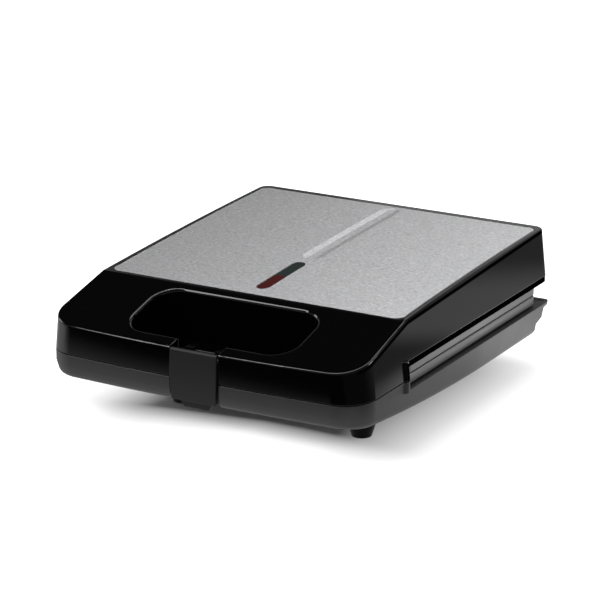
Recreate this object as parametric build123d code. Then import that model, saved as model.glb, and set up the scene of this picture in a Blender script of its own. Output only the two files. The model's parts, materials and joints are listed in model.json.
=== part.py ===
from build123d import *
import os
from math import atan2, degrees, radians, tan

os.makedirs("parts", exist_ok=True)

# Clamshell toasted-sandwich maker. X runs to the right, +Y to the rear and Z up.
# The origin is on the table, under the middle of the closed appliance. Millimetres.

# ---------------------------------------------------------------- driving dimensions
# Body, closed
body_width = 242.8  # widest, at the parting plane
body_length = 295.0  # front face to rear face
latch_proud = 1.6  # latch face ahead of the front face
hinge_proud = 1.5  # hinge knuckles behind the rear face
belly_height = 26.8  # table to the belly of the base
base_depth = 31.2  # belly to the parting plane
parting_gap = 0.6  # between lid and base all round
front_bow = 4.4  # bow of the front face across its width
front_corner_radius = 23.0
lid_rear_radius = 8.0
base_rear_radius = 3.0
side_lean = 5.6  # degrees that the lid's sides lean in
rear_lean = 1.7
wall = 2.4

# Lid
slab_front_height = 20.5  # parting plane to the front top edge
deck_front_height = 38.8  # parting plane to the front edge of the steel panel
deck_rear_height = 46.9  # parting plane to the rear top edge
slab_length = 72.2  # front face to the bend under the panel's front edge
deck_crown = 1.2
top_edge_radius = 1.4

# Steel panel with its window and pressed groove
panel_thickness = 0.8
panel_side_frame = 3.8
panel_rear_frame = 8.3  # rear face at the parting plane to the panel
panel_front_frame = 3.0
panel_corner_radius = 7.0
panel_groove = 0.4
window_width = 9.0
window_length = 59.0
window_setback = 10.7
lens_clearance = 0.15
lens_sunk = 0.4  # below the sheet's face
groove_width = 15.0
groove_floor_width = 5.4
groove_depth = 0.7
groove_rear_margin = 5.0
groove_gap = 9.0  # window to groove
groove_clearance = 0.15  # pressed sheet to the channel in the deck
# Distance from the groove's end, then the shares of its width and depth there
groove_run_out = [(0.0, 0.36, 0.25), (1.6, 0.74, 0.6), (4.0, 0.94, 0.9), (7.0, 1.0, 1.0)]
groove_spans = 4  # straight lengths that follow the crown

# Handle opening through both halves, and the latch notch
opening_width = 126.0
opening_rear_margin = 6.4  # opening to the bend
opening_corner_radius = 17.0
opening_setback = 12.9  # front face to the opening
opening_edge_radius = 2.6
notch_width = 37.2
notch_wall = 2.0
boss_wall = 2.0

# Window in each side, where the plates show
recess_setback = 67.1  # front face to the window's front end
wall_skirt_height = 12.0  # parting plane to the lid's outer wall
lip_height = 7.4  # parting plane to the lid's inner lip
lip_step = 0.4
lip_taper = 0.4  # further in at the lip's lower edge
ledge_depth = 8.0  # parting plane down to the base's ledge
ledge_tail_rise = 1.4
ledge_tail_length = 12.0
bead_diameter = 9.0  # rounded post at the window's front end
bead_proud = 2.0
bead_overlap = 5.9  # how far the post stands into the window
bead_top_rise = 1.4  # outer wall's lower edge to the top of the lid's post

# Cooking plates
plate_side_gap = 4.5  # outer face of the body to the plate's rim
plate_front_gap = 11.0  # window's front end to the plate
plate_rear_gap = 15.2  # rear face of the body to the plate
plate_corner_radius = 5.0
plate_thickness = 3.0
lower_rim_height = 6.6
rim_thickness = 2.4
plate_edge_chamfer = 0.5
pocket_depth = 15.0
pocket_outer_margin = 14.0
pocket_front_margin = 33.5
pocket_rear_margin = 29.0
pocket_divider = 18.0
pocket_taper = 20.0  # degrees
pocket_corner_radius = 12.0
cut_ridge_width = 5.0
cut_ridge_drop = 2.0

# Heating elements, heat shields and their screws
heater_diameter = 6.4
heater_bend_radius = 14.0
heater_clearance = 1.0  # heater tube to the pocket walls
heater_terminal_gap = 44.0
cold_pin_diameter = 2.4
cold_pin_length = 10.0
shield_thickness = 0.6
shield_clearance = 1.4  # pocket backs to the shield
shield_margin = 1.5  # inside the plate's rim
shield_fold = 6.0
shield_corner_radius = 4.0
shield_rear_margin = 4.2
shield_slot_margin = 4.0
stud_diameter = 9.0
screw_diameter = 4.0
screw_length = 12.0
screw_head_diameter = 7.0
screw_head_height = 2.4
screw_fit = 0.05
driver_well_clearance = 0.5
stud_spacing = 190.0
stud_front_inset = 16.2
stud_rear_inset = 12.0

# Base moulding
base_lean = 11.0  # degrees that the base's sides and front lean in below the ledge
bottom_edge_radius = 7.0
belly_front_rise = 15.6
belly_curve_length = 185.0
tail_thickness = 3.0
base_rear_inset = 2.0  # rear face of the lid to the rear of the ledge
rear_undercut = 7.5
rear_slope_height = 3.0
rear_lower_height = 9.5
rear_step_length = 15.5
rear_chamfer = 4.0
cord_box_width = 122.0
cord_box_inset = 2.5  # rear face of the body to the cord box
cord_box_rise = 4.0  # belly to the cord box
plate_lap = 2.2  # how far each housing's inner flange reaches under the plate's rim
cover_thickness = 2.0
cover_fit = 0.15
overcut = 20.0  # how far a cutter runs past the shape it cuts

# Feet
foot_bottom_z = 0.6
foot_pad_diameter = 9.6
foot_pad_seat = 1.8
foot_well_diameter = 6.8
foot_well_top = 19.0
foot_blank_rise = 12.0  # belly to the top of the blank that the belly cuts
foot_screw_length = 13.5
foot_boss_diameter = 9.0
foot_boss_height = 8.5
foot_bottom_diameter = 14.2
foot_top_diameter = 31.0
foot_spacing = 142.6
foot_front_setback = 100.3
foot_rear_inset = 36.5  # foot to the rear face
foot_screw_diameter = 3.5

# Hinges
hinge_inset = 47.4  # side of the body to the middle of a hinge
hinge_rear_offset = 3.0  # axis ahead of the body's rear face
knuckle_radius = 4.5
knuckle_width = 12.0
knuckle_root = 6.0  # above the lip
ear_width = 6.0
knuckle_side_gap = 0.3
hinge_pin_diameter = 4.0
hinge_pin_clearance = 0.06
hinge_pin_head = 1.2

# Latch
latch_width = 35.4
latch_taper = 0.8
latch_thickness = 3.2
latch_top_drop = 0.2  # below the slab's front top edge
latch_bottom_rise = 0.8
latch_tab_width = 26.0
latch_tab_length = 5.6
latch_tab_setback = 4.6
latch_tab_thickness = 2.4
pivot_drop = 6.0
pivot_depth = 7.6  # latch face to the pivot pin
latch_pin_diameter = 3.0
latch_pin_clearance = 0.06
pin_press_clearance = 0.02
pin_boss_length = 4.0
pin_boss_half = 4.0
latch_lug_inner = 8.0
latch_nose = 1.8
latch_bulge = 0.7
latch_hook_thickness = 2.2
latch_lug_width = 7.0
latch_lug_radius = 3.2
catch_clearance = 1.2
catch_width = 14.0
catch_depth = 2.4
catch_height = 2.4
catch_drop = 8.0  # parting plane down to the catch's top

# Electrical pieces
lamp_diameter = 5.0
lamp_length = 13.0
lamp_holder_height = 10.0
lens_flange = 1.2
thermostat_diameter = 15.6
thermostat_height = 8.0
thermostat_terminal = 7.5
fuse_diameter = 4.0
fuse_length = 14.0
clip_thickness = 1.0
clip_reach = 5.0  # past the middle of its screw
fuse_clip_half = 4.0
fuse_clip_overlap = 3.0
clip_boss_x = 28.0
clip_boss_diameter = 8.0
clip_screw_length = 4.0
earth_x = -50.0
earth_boss_height = 5.0
block_length = 32.0
block_width = 8.0
block_height = 11.0
gland_diameter = 9.0
gland_flange_diameter = 13.4  # outside the wall
gland_collar_diameter = 10.0  # inside the wall
cord_hole_diameter = 6.4
gland_offset = 44.0
gland_proud = 4.0
block_gap = 1.0
block_bore = 2.6
block_bore_height = 7.0
way_screw_diameter = 3.6
way_screw_length = 2.6
lead_diameter = 1.8
lead_bend = 3.0
lead_lane = 6.0

# ---------------------------------------------------------------- derived places
half_width = body_width / 2
front_y = -(latch_proud + body_length + hinge_proud) / 2 + latch_proud
rear_y = front_y + body_length
ledge_rear_y = rear_y - base_rear_inset
parting_z = belly_height + base_depth
lid_bottom_z = parting_z + parting_gap / 2
base_top_z = parting_z - parting_gap / 2
slab_front_z = parting_z + slab_front_height
deck_front_z = parting_z + deck_front_height
deck_rear_z = parting_z + deck_rear_height
bend_y = front_y + slab_length
recess_y = front_y + recess_setback
lip_z = parting_z + lip_height
wall_edge_z = parting_z + wall_skirt_height
upper_rim_height = lip_height - parting_gap / 2
ledge_z = parting_z - ledge_depth
plate_half_width = half_width - plate_side_gap
plate_front_y = recess_y + plate_front_gap
plate_rear_y = rear_y - plate_rear_gap
opening_front_y = front_y + opening_setback
opening_rear_y = bend_y - opening_rear_margin
notch_rear_y = opening_front_y - notch_wall
top_z = deck_rear_z + overcut
under_z = deck_front_z - overcut
hinge_y = rear_y - hinge_rear_offset
hinge_spacing = body_width - 2 * hinge_inset
latch_pin_half = notch_width / 2 + notch_wall + pin_boss_length - 1.0
hinge_z = parting_z
catch_z = parting_z - catch_drop - catch_height
latch_bottom_z = belly_height + belly_front_rise + latch_bottom_rise
foot_boss_top = belly_height + foot_boss_height
gland_x = -gland_offset
gland_z = (belly_height + cord_box_rise + ledge_z - tail_thickness) / 2
shelf_z = ledge_z - tail_thickness
partition_half = half_width - plate_side_gap
far = 2 * body_length


# ---------------------------------------------------------------- helpers
def block(x0, x1, y0, y1, z0, z1):
    """Box between two corners."""
    return Pos((x0 + x1) / 2, (y0 + y1) / 2, (z0 + z1) / 2) * Box(x1 - x0, y1 - y0, z1 - z0)


def rod(diameter, start, end):
    """Round bar between two points."""
    run = Vector(*end) - Vector(*start)
    return extrude(Plane(origin=start, z_dir=run) * Circle(diameter / 2), amount=run.length)


def cone(bottom_diameter, top_diameter, x, y, z0, z1):
    """Truncated cone standing on z0."""
    body = Cone(bottom_diameter / 2, top_diameter / 2, z1 - z0)
    return Pos(x, y, (z0 + z1) / 2) * body


def pad(x0, x1, y0, y1, radius, z0, z1):
    """Upright prism on a rounded rectangle."""
    face = RectangleRounded(x1 - x0, y1 - y0, radius)
    return extrude(Pos((x0 + x1) / 2, (y0 + y1) / 2, z0) * face, amount=z1 - z0)


def side_prism(profile, x0, x1):
    """Prism along X of a face drawn with Y across and Z up."""
    return Pos(x0, 0, 0) * extrude(Plane.YZ * profile, amount=x1 - x0)


def filled(*edges):
    return make_face(Curve() + list(edges))


def one(shape):
    """The single solid of a boolean result."""
    return shape.solids()[0]


def screw(x, y, head_z, direction, diameter, length, head_diameter, head_height):
    """Pan-head screw with a cross recess. Its shank points along direction, +1 up or -1 down."""
    head = upright(head_diameter, x, y, head_z, head_z - direction * head_height)
    shank = upright(diameter, x, y, head_z, head_z + direction * length)
    slot = head_diameter * 0.6
    slot_width = head_diameter * 0.16
    depth = head_height * 0.6
    outer_z = head_z - direction * head_height
    low, high = sorted((outer_z, outer_z + direction * depth))
    cross = block(x - slot / 2, x + slot / 2, y - slot_width / 2, y + slot_width / 2, low, high)
    cross += block(x - slot_width / 2, x + slot_width / 2, y - slot / 2, y + slot / 2, low, high)
    return one(head + shank - cross)


def upright(diameter, x, y, z0, z1):
    """Upright cylinder between two heights."""
    low, high = sorted((z0, z1))
    return Pos(x, y, (low + high) / 2) * Cylinder(diameter / 2, high - low)


def outline(half, front, rear, front_radius, rear_radius, z):
    """Plan of the body at height z: bowed front, straight sides and rear, round corners."""
    corner_y = front + front_bow
    bow = ThreePointArc((half, corner_y), (0, front), (-half, corner_y))
    rest = Polyline((-half, corner_y), (-half, rear), (half, rear), (half, corner_y))
    face = filled(bow, rest)
    face = fillet(face.vertices().group_by(Axis.Y)[0], front_radius)
    face = fillet(face.vertices().group_by(Axis.Y)[-1], rear_radius)
    return Pos(0, 0, z) * face


# ---------------------------------------------------------------- shared shapes
def lid_half(z, inset):
    return half_width - (z - parting_z) * tan(radians(side_lean)) - inset


def lid_section(z, inset):
    """Plan of the lid's drafted sides at height z."""
    rear = rear_y - (z - parting_z) * tan(radians(rear_lean)) - inset
    return outline(
        lid_half(z, inset), front_y + inset, rear,
        front_corner_radius - inset, lid_rear_radius - inset, z,
    )


def lid_block(inset, low_z=lid_bottom_z):
    """The lid's drafted sides, before its top is cut."""
    return loft([lid_section(low_z, inset), lid_section(top_z, inset)], ruled=True)


def lip_block():
    """The lid's inner lip, which leans in below the outer wall."""
    inner = lip_step + lip_taper
    steps = [(lid_bottom_z - 1, inner), (lip_z, inner), (wall_edge_z, lip_step)]
    return loft([lid_section(z, inset) for z, inset in steps], ruled=True)


slab_slope = (deck_front_height - slab_front_height) / slab_length


def under_deck(drop):
    """Everything below the lid's top, lowered by drop: the sloping slab, then the crowned deck."""
    overrun = 10.0
    start = (front_y - overrun, slab_front_z - overrun * slab_slope - drop)
    bend = (bend_y, deck_front_z - drop)
    middle = ((bend_y + rear_y) / 2, (deck_front_z + deck_rear_z) / 2 + deck_crown - drop)
    end = (rear_y, deck_rear_z - drop)
    floor_z = belly_height
    outer_y = rear_y + overrun
    return side_prism(
        filled(
            Line(start, bend),
            ThreePointArc(bend, middle, end),
            Polyline(end, (outer_y, end[1]), (outer_y, floor_z), (start[0], floor_z), start),
        ),
        -far,
        far,
    )


def window_beads(low, low_half, high, high_half):
    """Rounded posts at the front ends of the windows, one on each side, that lean with the side."""
    radius = bead_diameter / 2
    slant = (high_half - low_half) / (high - low)
    posts = []
    for side in (-1, 1):
        ends = []
        for z in (low - radius, high + radius):
            x = low_half + (z - low) * slant + bead_proud - radius
            ends.append((side * x, recess_y + bead_overlap - radius, z))
        posts.append(rod(bead_diameter, *ends))
    return posts[0] + posts[1]


def opening(grow, z0, z1):
    """The handle opening, grown by grow all round."""
    return pad(
        -opening_width / 2 - grow,
        opening_width / 2 + grow,
        opening_front_y - grow,
        opening_rear_y + grow,
        opening_corner_radius + grow,
        z0,
        z1,
    )


def notch(grow, z0, z1):
    """The latch notch in the front face, grown by grow at its sides and rear."""
    return block(
        -notch_width / 2 - grow, notch_width / 2 + grow, front_y - overcut, notch_rear_y + grow, z0, z1
    )


pivot_y = front_y - latch_proud + pivot_depth
pivot_z = slab_front_z - latch_top_drop - pivot_drop
stud_rear_y = plate_rear_y - stud_rear_inset
stud_places = [
    (side * stud_spacing / 2, y)
    for side in (-1, 1)
    for y in (plate_front_y + stud_front_inset, stud_rear_y)
]
shield_depth = pocket_depth + plate_thickness + shield_clearance
shield_back = shield_depth + shield_thickness
well_diameter = screw_head_diameter + 2 * driver_well_clearance
panel_front_y = bend_y + panel_front_frame
panel_rear_y = rear_y - panel_rear_frame
panel_half_width = lid_half(deck_rear_z, 0) - panel_side_frame
window_front_y = panel_front_y + window_setback
deck_stack = panel_thickness + wall  # panel plus the deck under it
heater_offset = plate_thickness + heater_clearance + heater_diameter / 2
heater_depth = plate_thickness + heater_diameter / 2
block_z = belly_height + cord_box_rise + wall
block_front_y = rear_y - cord_box_inset - wall - block_gap - block_width
lead_z = block_z + block_bore_height


def slab_z(y):
    return slab_front_z + (y - front_y) * slab_slope


def deck_z(y):
    share = (y - bend_y) / (rear_y - bend_y)
    chord = deck_front_z + share * (deck_rear_z - deck_front_z)
    return chord + 4 * deck_crown * share * (1 - share)


# ---------------------------------------------------------------- lid
def pin_boss(side):
    """Boss at one side of the notch that holds an end of the latch pin."""
    start = notch_width / 2 + notch_wall
    ends = sorted((side * start, side * (start + pin_boss_length)))
    half = pin_boss_half
    return block(*ends, pivot_y - half, pivot_y + half, pivot_z - half, pivot_z + half)


def handle_room(half_block, z0, z1):
    """The hollow of one handle half, round the opening and the notch."""
    room = half_block & block(-far, far, -far, recess_y, z0, z1)
    room -= opening(wall, z0, z1)
    room -= notch(notch_wall, z0, z1)
    return room


def rim_edges(body):
    """Edges of the handle opening where it breaks through the slab."""
    found = []
    for edge in body.edges():
        middle = edge @ 0.5
        at_slab = abs(middle.Z - slab_z(middle.Y)) < 0.05
        inside = abs(middle.X) <= opening_width / 2 + 0.1
        if at_slab and inside and opening_front_y - 0.1 <= middle.Y <= opening_rear_y + 0.1:
            found.append(edge)
    return found


def border_edges(faces):
    """Edges round a group of faces, without those that two of them share."""
    edges = [edge for face in faces for edge in face.edges()]
    middles = [edge @ 0.5 for edge in edges]
    return [
        edge for edge, middle in zip(edges, middles)
        if sum((middle - other).length < 0.01 for other in middles) == 1
    ]


def upper_housing():
    """One-piece moulding: deck, sloping slab, sides, partition, screw wells and knuckles."""
    body = one(lid_block(0) & under_deck(0))
    body = fillet(border_edges([face for face in body.faces() if face.normal_at().Z > 0.7]), top_edge_radius)
    body -= opening(0, 0, top_z)
    body = fillet(rim_edges(body), opening_edge_radius)

    inner = lid_block(wall, lid_bottom_z - 1)
    plate_room = inner & under_deck(deck_stack) & block(-far, far, recess_y + wall, far, 0, top_z)
    front_room = handle_room(inner & under_deck(wall), 0, top_z)
    for side in (-1, 1):
        front_room -= pin_boss(side)
    body = body - plate_room - front_room

    step = block(-far, far, recess_y, far, 0, wall_edge_z)
    body -= step - lip_block()
    body -= block(-far, far, recess_y + wall, far, 0, lip_z)
    flange = lip_block() & block(-far, far, recess_y + wall / 2, far, lip_z, lip_z + wall)
    body += flange - plate_pad(plate_lap, lip_z - 1, lip_z + wall + 1)
    bead_top = wall_edge_z + bead_top_rise
    posts = window_beads(lid_bottom_z, lid_half(lid_bottom_z, 0), bead_top, lid_half(bead_top, 0))
    body += (posts & block(-far, far, -far, far, lid_bottom_z, bead_top)) - front_room
    body -= notch(0, 0, top_z)

    seat = pad(
        -panel_half_width - panel_groove, panel_half_width + panel_groove,
        panel_front_y - panel_groove, panel_rear_y + panel_groove,
        panel_corner_radius + panel_groove, under_z, top_z,
    )
    body -= seat - under_deck(panel_thickness)
    body -= pressed_groove(panel_thickness + groove_clearance, panel_thickness / 2, groove_clearance)
    well_floor_z = lid_bottom_z + shield_back
    for x, y in stud_places:
        tube = upright(well_diameter + 2 * boss_wall, x, y, well_floor_z, deck_z(y) - deck_stack + 1)
        body += tube
        body -= upright(well_diameter, x, y, well_floor_z + boss_wall, top_z)
        body -= upright(screw_diameter + 0.6, x, y, well_floor_z - 1, top_z)
    body -= window_prism(0, under_z, top_z)
    for side in (-1, 1):
        x = side * hinge_spacing / 2
        ends = (x - knuckle_width / 2, x + knuckle_width / 2)
        root = block(*ends, hinge_y - knuckle_radius, rear_y, hinge_z, lip_z + knuckle_root)
        body += root & lid_block(0, hinge_z)
        body += rod(2 * knuckle_radius, (ends[0], hinge_y, hinge_z), (ends[1], hinge_y, hinge_z))
        bore = hinge_pin_diameter + 2 * hinge_pin_clearance
        body -= rod(bore, (ends[0] - 1, hinge_y, hinge_z), (ends[1] + 1, hinge_y, hinge_z))
    bore = latch_pin_diameter + 2 * pin_press_clearance
    reach = latch_pin_half + 0.1
    body -= rod(bore, (-reach, pivot_y, pivot_z), (reach, pivot_y, pivot_z))
    return one(body)


def window_prism(grow, z0, z1):
    """The indicator window's outline as an upright prism, grown by grow."""
    return pad(
        -window_width / 2 - grow, window_width / 2 + grow,
        window_front_y - grow, window_front_y + window_length + grow,
        window_width / 2 + grow - 0.01, z0, z1,
    )


def groove_section(y, width, depth, drop, lift, grow):
    """Section of the pressed groove, lowered by drop and carried on upwards by lift."""
    edge_half = width / 2 + grow
    floor_half = width / 2 * groove_floor_width / groove_width + grow
    spread = (edge_half - floor_half) * lift / depth
    face_z = deck_z(y) - drop
    points = [
        (-edge_half - spread, face_z + lift), (-floor_half, face_z - depth),
        (floor_half, face_z - depth), (edge_half + spread, face_z + lift),
    ]
    section = make_face(Polyline(*points, close=True))
    return Plane(origin=(0, y, 0), x_dir=(1, 0, 0), z_dir=(0, -1, 0)) * section


def pressed_groove(drop, lift, grow=0.0):
    """The long groove behind the window, which follows the crown and runs out at both ends."""
    front = window_front_y + window_length + groove_gap - grow
    rear = panel_rear_y - groove_rear_margin + grow
    stations = [(front + run, width, depth) for run, width, depth in groove_run_out]
    first = stations[-1][0]
    last = rear - groove_run_out[-1][0]
    stations += [(first + (last - first) * n / groove_spans, 1.0, 1.0) for n in range(1, groove_spans)]
    stations += [(rear - run, width, depth) for run, width, depth in reversed(groove_run_out)]
    sections = [
        groove_section(y, groove_width * width, groove_depth * depth, drop, lift, grow)
        for y, width, depth in stations
    ]
    return loft(sections, ruled=True)


def steel_top_panel():
    """Crowned sheet let into the deck, with the indicator window and the pressed groove."""
    plan = pad(
        -panel_half_width, panel_half_width, panel_front_y, panel_rear_y,
        panel_corner_radius, under_z, top_z,
    )
    sheet = (plan & under_deck(0)) - under_deck(panel_thickness)
    sheet += pressed_groove(panel_thickness, panel_thickness / 2)
    sheet -= pressed_groove(0, panel_thickness / 2)
    return one(sheet - window_prism(0, under_z, top_z))


def indicator_lens(front):
    """Half of the window's filling: it stands through sheet and deck on a flange below the deck."""
    middle = window_front_y + window_length / 2
    half = block(-far, far, -far, middle - 0.05, 0, top_z)
    if not front:
        half = block(-far, far, middle + 0.05, far, 0, top_z)
    stem = window_prism(-lens_clearance, 0, top_z) & under_deck(lens_sunk) & half
    stem -= under_deck(deck_stack)
    flange = window_prism(lens_flange, 0, top_z) & under_deck(deck_stack) & half
    flange -= under_deck(deck_stack + lens_flange)
    return one(stem + flange)


def lamp_places():
    """Middle of each lamp, under the middle of its lens."""
    depth = deck_stack + lens_flange + 1.0 + lamp_diameter / 2
    for share in (0.25, 0.75):
        y = window_front_y + share * window_length
        yield y, deck_z(y) - depth


def lamp_holder():
    """Tray under both lenses with a cradle for each lamp."""
    body = pad(
        -window_width / 2 - lens_flange - 2, window_width / 2 + lens_flange + 2,
        window_front_y - lens_flange - 2, window_front_y + window_length + lens_flange + 2,
        2.0, deck_z(window_front_y) - deck_stack - lens_flange - lamp_holder_height, top_z,
    )
    body &= under_deck(deck_stack)
    body -= window_prism(lens_flange, 0, top_z) - under_deck(deck_stack + lens_flange)
    for y, z in lamp_places():
        half = lamp_length / 2 + 0.2
        bore = lamp_diameter + 0.2
        body -= rod(bore, (0, y - half, z), (0, y + half, z))
        body -= block(-bore / 2, bore / 2, y - half, y + half, z, top_z)
    return one(body)


def indicator_lamps():
    """Two neon lamps: a glass tube with a domed end on a base."""
    lamps = []
    for y, z in lamp_places():
        lamp = rod(lamp_diameter, (0, y - lamp_length / 2, z), (0, y + lamp_length / 2, z))
        tip = lamp.edges().group_by(Axis.Y)[0]
        lamps.append(one(fillet(tip, lamp_diameter * 0.35)))
    return Compound(lamps)


# ---------------------------------------------------------------- cooking plates and heating
pocket_inner_x = pocket_divider / 2
pocket_outer_x = plate_half_width - pocket_outer_margin
pocket_front_y = plate_front_y + pocket_front_margin
pocket_rear_y = plate_rear_y - pocket_rear_margin


def tub(grow, depth, radius):
    """Tapered pocket on the right, face plane at z = 0 and floor at depth."""
    sections = []
    for z, inset in ((0, 0), (depth, depth * tan(radians(pocket_taper)))):
        width = pocket_outer_x - pocket_inner_x + 2 * grow - 2 * inset
        length = pocket_rear_y - pocket_front_y + 2 * grow - 2 * inset
        centre = Pos((pocket_inner_x + pocket_outer_x) / 2, (pocket_front_y + pocket_rear_y) / 2, z)
        sections.append(centre * RectangleRounded(width, length, max(radius + grow - inset, 1.0)))
    return loft(sections, ruled=True)


def pocket():
    """Cavity of the right-hand pocket, with the diagonal cutting ridge left standing in it."""
    width = pocket_outer_x - pocket_inner_x
    length = pocket_rear_y - pocket_front_y
    ridge = Box(cut_ridge_width, width + length, pocket_depth)
    ridge = Rot(0, 0, degrees(atan2(width, length))) * ridge
    centre = Pos(
        (pocket_inner_x + pocket_outer_x) / 2,
        (pocket_front_y + pocket_rear_y) / 2,
        cut_ridge_drop + pocket_depth / 2,
    )
    return tub(0, pocket_depth, pocket_corner_radius) - centre * ridge


def plate_pad(inset, z0, z1):
    """Prism on the plate's outline, brought in by inset."""
    return pad(
        -plate_half_width + inset, plate_half_width - inset,
        plate_front_y + inset, plate_rear_y - inset,
        max(plate_corner_radius - inset, 1.0), z0, z1,
    )


def cooking_plate(rim_height, clip_boss_height):
    """Cast plate with its face on z = 0 and its back towards +Z."""
    body = plate_pad(0, 0, rim_height) - plate_pad(rim_thickness, plate_thickness, rim_height + 1)
    hollow = pocket()
    shell = tub(plate_thickness, pocket_depth + plate_thickness, pocket_corner_radius)
    body = body + shell + mirror(shell, about=Plane.YZ)
    body = body - hollow - mirror(hollow, about=Plane.YZ)
    for x, y in stud_places:
        body += upright(stud_diameter, x, y, plate_thickness / 2, shield_depth)
        body -= upright(screw_diameter + 2 * screw_fit, x, y, shield_depth - screw_length, shield_depth + 1)
    for x, height in ((clip_boss_x, clip_boss_height), (earth_x, earth_boss_height)):
        top = plate_thickness + height
        body += upright(clip_boss_diameter, x, stud_rear_y, plate_thickness / 2, top)
        body -= upright(screw_diameter + 2 * screw_fit, x, stud_rear_y, plate_thickness - 0.6, top + 1)
    face_edges = body.edges().filter_by_position(Axis.Z, -0.01, 0.01)
    return one(chamfer([edge for edge in face_edges if on_border(edge @ 0.5)], plate_edge_chamfer))


def on_border(point):
    """True if a point is on the plate's outer outline or its corner arcs."""
    from_side = plate_half_width - abs(point.X)
    from_end = min(point.Y - plate_front_y, plate_rear_y - point.Y)
    return min(from_side, from_end) < plate_corner_radius * 0.3


def heating_element():
    """Sheathed tube bent once round both pockets, with a cold pin at each end."""
    x = pocket_outer_x + heater_offset
    front = pocket_front_y - heater_offset
    rear = pocket_rear_y + heater_offset
    start = heater_terminal_gap / 2
    z = heater_depth
    corners = [
        (-start, rear, z), (-x, rear, z), (-x, front, z), (x, front, z), (x, rear, z), (start, rear, z)
    ]
    path = FilletPolyline(*corners, radius=heater_bend_radius)
    tube = sweep(Plane(origin=path @ 0, z_dir=path % 0) * Circle(heater_diameter / 2), path=path)
    for side in (-1, 1):
        pin_end = (side * (start - cold_pin_length), rear, z)
        tube += rod(cold_pin_diameter, (side * (start + 1), rear, z), pin_end)
    return one(tube)


def heat_shield():
    """Folded tray behind the plate, with a rear slot for the leads and a hole for each stud screw."""
    rear = plate_rear_y - rim_thickness - shield_rear_margin
    body = shield_pad(0, shield_depth - shield_fold, shield_back)
    body -= shield_pad(shield_thickness, shield_depth - shield_fold - 1, shield_depth)
    for x, y in stud_places:
        body -= upright(screw_diameter + 0.6, x, y, shield_depth - 1, shield_back + 1)
    slot_half = heater_terminal_gap / 2 + shield_slot_margin
    slot_front = pocket_rear_y + plate_thickness
    body -= block(-slot_half, slot_half, slot_front, rear + 1, 0, shield_back + 1)
    return one(body)


def shield_pad(grow_in, z0, z1):
    """Prism on the shield's outline, brought in by grow_in."""
    inset = rim_thickness + shield_margin + grow_in
    rear = plate_rear_y - rim_thickness - shield_rear_margin - grow_in
    half = plate_half_width - inset
    return pad(-half, half, plate_front_y + inset, rear, shield_corner_radius - grow_in, z0, z1)


def plate_screws():
    """Four screws that clamp housing, shield and plate together, heads in the housing's wells."""
    seat = shield_back + boss_wall
    return [
        screw(x, y, seat, -1, screw_diameter, screw_length - 0.5, screw_head_diameter, screw_head_height)
        for x, y in stud_places
    ]


def thermostat():
    """Disc thermostat on the plate's back, with two flat terminals."""
    top = plate_thickness + thermostat_height
    body = upright(thermostat_diameter, 0, stud_rear_y, plate_thickness, top)
    for side in (-1, 1):
        x = side * thermostat_diameter / 4
        across = (stud_rear_y - 3.1, stud_rear_y + 3.1)
        body += block(x - 0.4, x + 0.4, *across, top - 1, top + thermostat_terminal)
    return one(body)


def thermostat_clamp():
    """Strap over the thermostat, screwed to the boss beside it."""
    z = plate_thickness + thermostat_height
    half = thermostat_diameter / 2 - 0.3
    ends = (-half, clip_boss_x + clip_reach)
    body = block(*ends, stud_rear_y - half, stud_rear_y + half, z, z + clip_thickness)
    body -= upright(thermostat_diameter * 0.72, 0, stud_rear_y, z - 1, z + clip_thickness + 1)
    body -= upright(screw_diameter + 0.6, clip_boss_x, stud_rear_y, z - 1, z + clip_thickness + 1)
    return one(body)


def thermal_fuse():
    """Sealed fuse lying on the plate's back, with its two wire ends."""
    z = plate_thickness + fuse_diameter / 2
    half = fuse_length / 2
    body = rod(fuse_diameter, (-half, stud_rear_y, z), (half, stud_rear_y, z))
    return one(body + rod(1.0, (-half - 3, stud_rear_y, z), (half + 3, stud_rear_y, z)))


def fuse_clip():
    """Strap that holds the fuse down, screwed to the boss beside it."""
    z = plate_thickness + fuse_diameter
    half = fuse_clip_half
    ends = (-fuse_clip_overlap, clip_boss_x + clip_reach)
    body = block(*ends, stud_rear_y - half, stud_rear_y + half, z, z + clip_thickness)
    body -= upright(screw_diameter + 0.6, clip_boss_x, stud_rear_y, z - 1, z + clip_thickness + 1)
    return one(body)


def clip_screw(clip_top):
    """Screw that holds a clip to its boss."""
    size = (screw_diameter, clip_screw_length, screw_head_diameter, screw_head_height)
    return one(screw(clip_boss_x, stud_rear_y, clip_top, -1, *size))


def earth_screw():
    """Earthing screw on the plate's back with a ring tag under its head."""
    z = plate_thickness + earth_boss_height
    tag = upright(8.0, earth_x, stud_rear_y, z, z + 0.8)
    tag += block(earth_x, earth_x + 9, stud_rear_y - 2, stud_rear_y + 2, z, z + 0.8)
    size = (screw_diameter, clip_screw_length, screw_head_diameter, screw_head_height)
    return one(tag + screw(earth_x, stud_rear_y, z + 0.8, -1, *size))


# ---------------------------------------------------------------- base
def base_block(inset):
    """The base's sides, drafted inwards below the ledge, before its underside is cut."""
    sections = []
    for z in (parting_z, ledge_z, belly_height - 1):
        lean = (min(z, ledge_z) - ledge_z) * tan(radians(base_lean)) - inset
        sections.append(
            outline(
                half_width + lean, front_y - lean, ledge_rear_y - inset,
                front_corner_radius - inset, base_rear_radius - inset, z,
            )
        )
    return loft(sections, ruled=True)


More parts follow.
